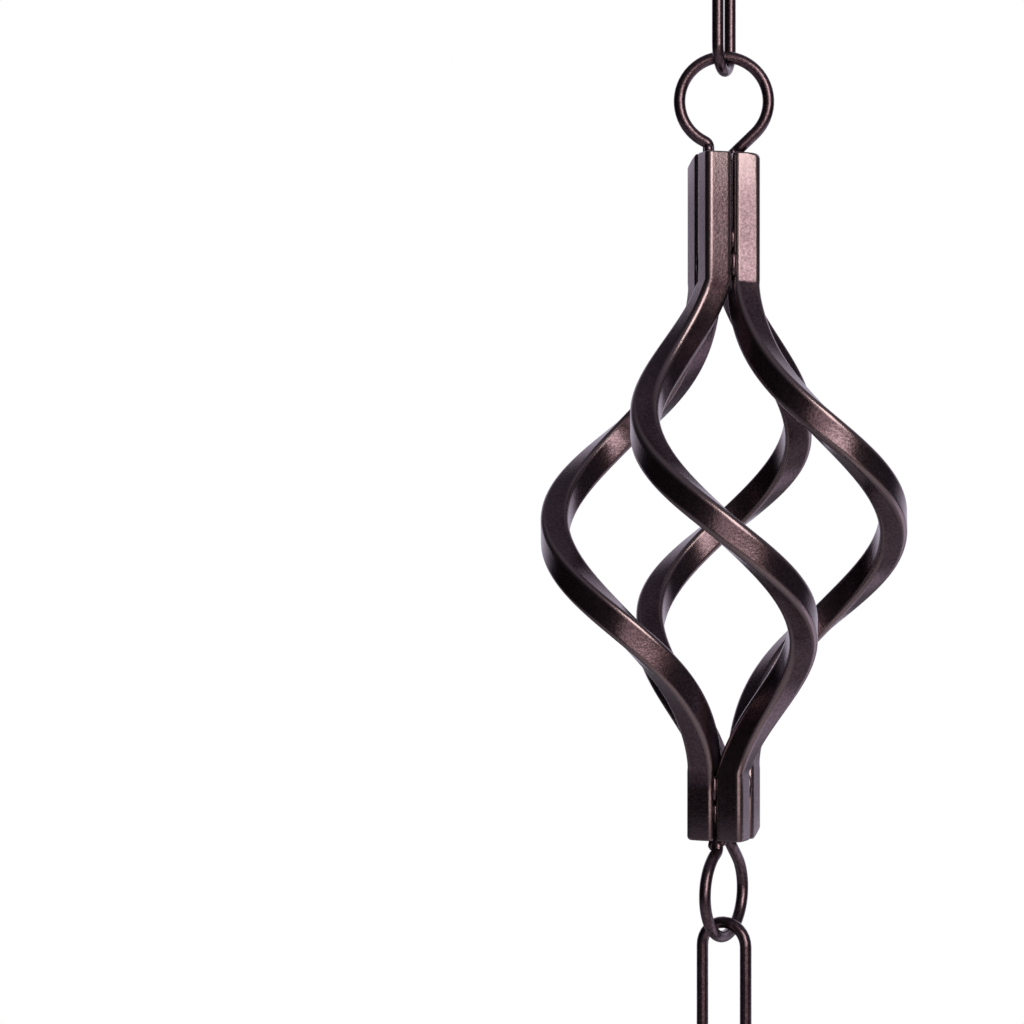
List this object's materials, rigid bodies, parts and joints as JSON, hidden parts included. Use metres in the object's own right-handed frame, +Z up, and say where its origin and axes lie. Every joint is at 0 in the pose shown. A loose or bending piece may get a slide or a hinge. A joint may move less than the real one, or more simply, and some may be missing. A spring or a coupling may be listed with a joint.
{
  "type": "rain chain",
  "caption": "Hanging rain chain of twisted square-bar cages joined by pairs of oval wire links, with an S hook at the top and a slim turned weight on a ring at the foot.",
  "frame": {"origin": "top of the inside of the S hook's open upper end, where it rests on what it hangs from", "axes": "+Z up along the chain, -Y towards the front"},
  "size_m": [0.0498, 0.0498, 2.6474],
  "materials": {
    "bronze_coat": "dark bronze satin powder coat with a fine metallic speckle"
  },
  "bodies": {
    "hanger": {"hanger": "bronze_coat"},
    "top_link": {"top_link": "bronze_coat"},
    "cage_01": {"cage_01_bars": "bronze_coat", "cage_01_eyes": "bronze_coat"},
    "link_01_upper": {"link_01_upper": "bronze_coat"},
    "link_01_lower": {"link_01_lower": "bronze_coat"},
    "cage_02": {"cage_02_bars": "bronze_coat", "cage_02_eyes": "bronze_coat"},
    "link_02_upper": {"link_02_upper": "bronze_coat"},
    "link_02_lower": {"link_02_lower": "bronze_coat"},
    "cage_03": {"cage_03_bars": "bronze_coat", "cage_03_eyes": "bronze_coat"},
    "link_03_upper": {"link_03_upper": "bronze_coat"},
    "link_03_lower": {"link_03_lower": "bronze_coat"},
    "cage_04": {"cage_04_bars": "bronze_coat", "cage_04_eyes": "bronze_coat"},
    "link_04_upper": {"link_04_upper": "bronze_coat"},
    "link_04_lower": {"link_04_lower": "bronze_coat"},
    "cage_05": {"cage_05_bars": "bronze_coat", "cage_05_eyes": "bronze_coat"},
    "link_05_upper": {"link_05_upper": "bronze_coat"},
    "link_05_lower": {"link_05_lower": "bronze_coat"},
    "cage_06": {"cage_06_bars": "bronze_coat", "cage_06_eyes": "bronze_coat"},
    "link_06_upper": {"link_06_upper": "bronze_coat"},
    "link_06_lower": {"link_06_lower": "bronze_coat"},
    "cage_07": {"cage_07_bars": "bronze_coat", "cage_07_eyes": "bronze_coat"},
    "link_07_upper": {"link_07_upper": "bronze_coat"},
    "link_07_lower": {"link_07_lower": "bronze_coat"},
    "cage_08": {"cage_08_bars": "bronze_coat", "cage_08_eyes": "bronze_coat"},
    "link_08_upper": {"link_08_upper": "bronze_coat"},
    "link_08_lower": {"link_08_lower": "bronze_coat"},
    "cage_09": {"cage_09_bars": "bronze_coat", "cage_09_eyes": "bronze_coat"},
    "link_09_upper": {"link_09_upper": "bronze_coat"},
    "link_09_lower": {"link_09_lower": "bronze_coat"},
    "cage_10": {"cage_10_bars": "bronze_coat", "cage_10_eyes": "bronze_coat"},
    "link_10_upper": {"link_10_upper": "bronze_coat"},
    "link_10_lower": {"link_10_lower": "bronze_coat"},
    "cage_11": {"cage_11_bars": "bronze_coat", "cage_11_eyes": "bronze_coat"},
    "link_11_upper": {"link_11_upper": "bronze_coat"},
    "link_11_lower": {"link_11_lower": "bronze_coat"},
    "cage_12": {"cage_12_bars": "bronze_coat", "cage_12_eyes": "bronze_coat"},
    "link_12_upper": {"link_12_upper": "bronze_coat"},
    "link_12_lower": {"link_12_lower": "bronze_coat"},
    "cage_13": {"cage_13_bars": "bronze_coat", "cage_13_eyes": "bronze_coat"},
    "tail_link_upper": {"tail_link_upper": "bronze_coat"},
    "tail_link_lower": {"tail_link_lower": "bronze_coat"},
    "tail_ring": {"tail_ring": "bronze_coat"},
    "drop": {"drop": "bronze_coat"}
  },
  "joints": [
    {"name": "top_link_swing", "type": "hinge", "parent": "hanger", "child": "top_link", "pos_m": [0, 0, -0.0577], "axis": [0.866, -0.5, 0], "range_deg": [-90, 90]},
    {"name": "cage_01_swing", "type": "hinge", "parent": "top_link", "child": "cage_01", "pos_m": [0, 0, -0.0822], "axis": [0.7071, 0.7071, 0], "range_deg": [-90, 90]},
    {"name": "link_01_upper_swing", "type": "hinge", "parent": "cage_01", "child": "link_01_upper", "pos_m": [0, 0, -0.1997], "axis": [0.7071, 0.7071, 0], "range_deg": [-90, 90]},
    {"name": "link_01_lower_swing", "type": "hinge", "parent": "link_01_upper", "child": "link_01_lower", "pos_m": [0, 0, -0.23475], "axis": [-0.866, 0.5, 0], "range_deg": [-90, 90]},
    {"name": "cage_02_swing", "type": "hinge", "parent": "link_01_lower", "child": "cage_02", "pos_m": [0, 0, -0.2698], "axis": [-0.2588, -0.9659, 0], "range_deg": [-90, 90]},
    {"name": "link_02_upper_swing", "type": "hinge", "parent": "cage_02", "child": "link_02_upper", "pos_m": [0, 0, -0.3875], "axis": [0.4226, 0.9063, 0], "range_deg": [-90, 90]},
    {"name": "link_02_lower_swing", "type": "hinge", "parent": "link_02_upper", "child": "link_02_lower", "pos_m": [0, 0, -0.42255], "axis": [-0.9182, 0.3961, 0], "range_deg": [-90, 90]},
    {"name": "cage_03_swing", "type": "hinge", "parent": "link_02_lower", "child": "cage_03", "pos_m": [0, 0, -0.4576], "axis": [-0.3692, -0.9293, 0], "range_deg": [-90, 90]},
    {"name": "link_03_upper_swing", "type": "hinge", "parent": "cage_03", "child": "link_03_upper", "pos_m": [0, 0, -0.5753], "axis": [0.7071, 0.7071, 0], "range_deg": [-90, 90]},
    {"name": "link_03_lower_swing", "type": "hinge", "parent": "link_03_upper", "child": "link_03_lower", "pos_m": [0, 0, -0.61035], "axis": [-0.866, 0.5, 0], "range_deg": [-90, 90]},
    {"name": "cage_04_swing", "type": "hinge", "parent": "link_03_lower", "child": "cage_04", "pos_m": [0, 0, -0.6454], "axis": [-0.2588, -0.9659, 0], "range_deg": [-90, 90]},
    {"name": "link_04_upper_swing", "type": "hinge", "parent": "cage_04", "child": "link_04_upper", "pos_m": [0, 0, -0.7631], "axis": [0.4226, 0.9063, 0], "range_deg": [-90, 90]},
    {"name": "link_04_lower_swing", "type": "hinge", "parent": "link_04_upper", "child": "link_04_lower", "pos_m": [0, 0, -0.79815], "axis": [-0.9182, 0.3961, 0], "range_deg": [-90, 90]},
    {"name": "cage_05_swing", "type": "hinge", "parent": "link_04_lower", "child": "cage_05", "pos_m": [0, 0, -0.8332], "axis": [-0.3692, -0.9293, 0], "range_deg": [-90, 90]},
    {"name": "link_05_upper_swing", "type": "hinge", "parent": "cage_05", "child": "link_05_upper", "pos_m": [0, 0, -0.9509], "axis": [0.7071, 0.7071, 0], "range_deg": [-90, 90]},
    {"name": "link_05_lower_swing", "type": "hinge", "parent": "link_05_upper", "child": "link_05_lower", "pos_m": [0, 0, -0.98595], "axis": [-0.866, 0.5, 0], "range_deg": [-90, 90]},
    {"name": "cage_06_swing", "type": "hinge", "parent": "link_05_lower", "child": "cage_06", "pos_m": [0, 0, -1.021], "axis": [-0.2588, -0.9659, 0], "range_deg": [-90, 90]},
    {"name": "link_06_upper_swing", "type": "hinge", "parent": "cage_06", "child": "link_06_upper", "pos_m": [0, 0, -1.1387], "axis": [0.4226, 0.9063, 0], "range_deg": [-90, 90]},
    {"name": "link_06_lower_swing", "type": "hinge", "parent": "link_06_upper", "child": "link_06_lower", "pos_m": [0, 0, -1.17375], "axis": [-0.9182, 0.3961, 0], "range_deg": [-90, 90]},
    {"name": "cage_07_swing", "type": "hinge", "parent": "link_06_lower", "child": "cage_07", "pos_m": [0, 0, -1.2088], "axis": [-0.3692, -0.9293, 0], "range_deg": [-90, 90]},
    {"name": "link_07_upper_swing", "type": "hinge", "parent": "cage_07", "child": "link_07_upper", "pos_m": [0, 0, -1.3265], "axis": [0.7071, 0.7071, 0], "range_deg": [-90, 90]},
    {"name": "link_07_lower_swing", "type": "hinge", "parent": "link_07_upper", "child": "link_07_lower", "pos_m": [0, 0, -1.36155], "axis": [-0.866, 0.5, 0], "range_deg": [-90, 90]},
    {"name": "cage_08_swing", "type": "hinge", "parent": "link_07_lower", "child": "cage_08", "pos_m": [0, 0, -1.3966], "axis": [-0.2588, -0.9659, 0], "range_deg": [-90, 90]},
    {"name": "link_08_upper_swing", "type": "hinge", "parent": "cage_08", "child": "link_08_upper", "pos_m": [0, 0, -1.5143], "axis": [0.4226, 0.9063, 0], "range_deg": [-90, 90]},
    {"name": "link_08_lower_swing", "type": "hinge", "parent": "link_08_upper", "child": "link_08_lower", "pos_m": [0, 0, -1.54935], "axis": [-0.9182, 0.3961, 0], "range_deg": [-90, 90]},
    {"name": "cage_09_swing", "type": "hinge", "parent": "link_08_lower", "child": "cage_09", "pos_m": [0, 0, -1.5844], "axis": [-0.3692, -0.9293, 0], "range_deg": [-90, 90]},
    {"name": "link_09_upper_swing", "type": "hinge", "parent": "cage_09", "child": "link_09_upper", "pos_m": [0, 0, -1.7021], "axis": [0.7071, 0.7071, 0], "range_deg": [-90, 90]},
    {"name": "link_09_lower_swing", "type": "hinge", "parent": "link_09_upper", "child": "link_09_lower", "pos_m": [0, 0, -1.73715], "axis": [-0.866, 0.5, 0], "range_deg": [-90, 90]},
    {"name": "cage_10_swing", "type": "hinge", "parent": "link_09_lower", "child": "cage_10", "pos_m": [0, 0, -1.7722], "axis": [-0.2588, -0.9659, 0], "range_deg": [-90, 90]},
    {"name": "link_10_upper_swing", "type": "hinge", "parent": "cage_10", "child": "link_10_upper", "pos_m": [0, 0, -1.8899], "axis": [0.4226, 0.9063, 0], "range_deg": [-90, 90]},
    {"name": "link_10_lower_swing", "type": "hinge", "parent": "link_10_upper", "child": "link_10_lower", "pos_m": [0, 0, -1.92495], "axis": [-0.9182, 0.3961, 0], "range_deg": [-90, 90]},
    {"name": "cage_11_swing", "type": "hinge", "parent": "link_10_lower", "child": "cage_11", "pos_m": [0, 0, -1.96], "axis": [-0.3692, -0.9293, 0], "range_deg": [-90, 90]},
    {"name": "link_11_upper_swing", "type": "hinge", "parent": "cage_11", "child": "link_11_upper", "pos_m": [0, 0, -2.0777], "axis": [0.7071, 0.7071, 0], "range_deg": [-90, 90]},
    {"name": "link_11_lower_swing", "type": "hinge", "parent": "link_11_upper", "child": "link_11_lower", "pos_m": [0, 0, -2.11275], "axis": [-0.866, 0.5, 0], "range_deg": [-90, 90]},
    {"name": "cage_12_swing", "type": "hinge", "parent": "link_11_lower", "child": "cage_12", "pos_m": [0, 0, -2.1478], "axis": [-0.2588, -0.9659, 0], "range_deg": [-90, 90]},
    {"name": "link_12_upper_swing", "type": "hinge", "parent": "cage_12", "child": "link_12_upper", "pos_m": [0, 0, -2.2655], "axis": [0.4226, 0.9063, 0], "range_deg": [-90, 90]},
    {"name": "link_12_lower_swing", "type": "hinge", "parent": "link_12_upper", "child": "link_12_lower", "pos_m": [0, 0, -2.30055], "axis": [-0.9182, 0.3961, 0], "range_deg": [-90, 90]},
    {"name": "cage_13_swing", "type": "hinge", "parent": "link_12_lower", "child": "cage_13", "pos_m": [0, 0, -2.3356], "axis": [-0.3692, -0.9293, 0], "range_deg": [-90, 90]},
    {"name": "tail_link_upper_swing", "type": "hinge", "parent": "cage_13", "child": "tail_link_upper", "pos_m": [0, 0, -2.4533], "axis": [0.7071, 0.7071, 0], "range_deg": [-90, 90]},
    {"name": "tail_link_lower_swing", "type": "hinge", "parent": "tail_link_upper", "child": "tail_link_lower", "pos_m": [0, 0, -2.48835], "axis": [-0.7071, 0.7071, 0], "range_deg": [-90, 90]},
    {"name": "tail_ring_swing", "type": "hinge", "parent": "tail_link_lower", "child": "tail_ring", "pos_m": [0, 0, -2.5127], "axis": [-0.7071, -0.7071, 0], "range_deg": [-90, 90]},
    {"name": "drop_swing", "type": "hinge", "parent": "tail_ring", "child": "drop", "pos_m": [0, 0, -2.5286], "axis": [0.7071, -0.7071, 0], "range_deg": [-90, 90]}
  ]
}
